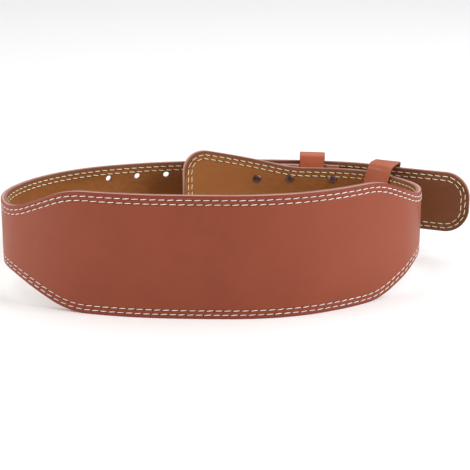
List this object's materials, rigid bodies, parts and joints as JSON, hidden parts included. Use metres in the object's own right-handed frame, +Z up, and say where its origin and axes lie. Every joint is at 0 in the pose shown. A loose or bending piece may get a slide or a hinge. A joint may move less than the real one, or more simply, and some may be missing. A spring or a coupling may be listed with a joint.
{
  "type": "leather weightlifting belt",
  "caption": "Leather weightlifting belt with a wide back, fastened to a loop: a punched tongue lapped outside the wide inner end, with a pronged buckle, keepers and rivets.",
  "frame": {"origin": "middle of the belt's bounding box in plan, on the surface that the belt stands on", "axes": "+Z up, -Y towards the wide back, +X towards the free tip of the tongue"},
  "size_m": [0.4116, 0.2284, 0.102],
  "materials": {
    "outer_leather": "smooth russet leather with a soft sheen",
    "suede": "napped brown suede, matt",
    "strap_leather": "smooth russet leather, raw edge",
    "keeper_leather": "smooth orange-red leather",
    "buckle_steel": "satin",
    "rivet_metal": "dark, softly shining"
  },
  "bodies": {
    "root": {"outer_leather": "outer_leather", "suede_lining": "suede", "buckle_strap": "strap_leather", "fixed_keeper": "keeper_leather", "sliding_keeper": "keeper_leather", "buckle": "buckle_steel", "rivet_1": "rivet_metal", "rivet_2": "rivet_metal", "rivet_3": "rivet_metal", "rivet_4": "rivet_metal", "rivet_5": "rivet_metal", "rivet_6": "rivet_metal"}
  },
  "joints": []
}
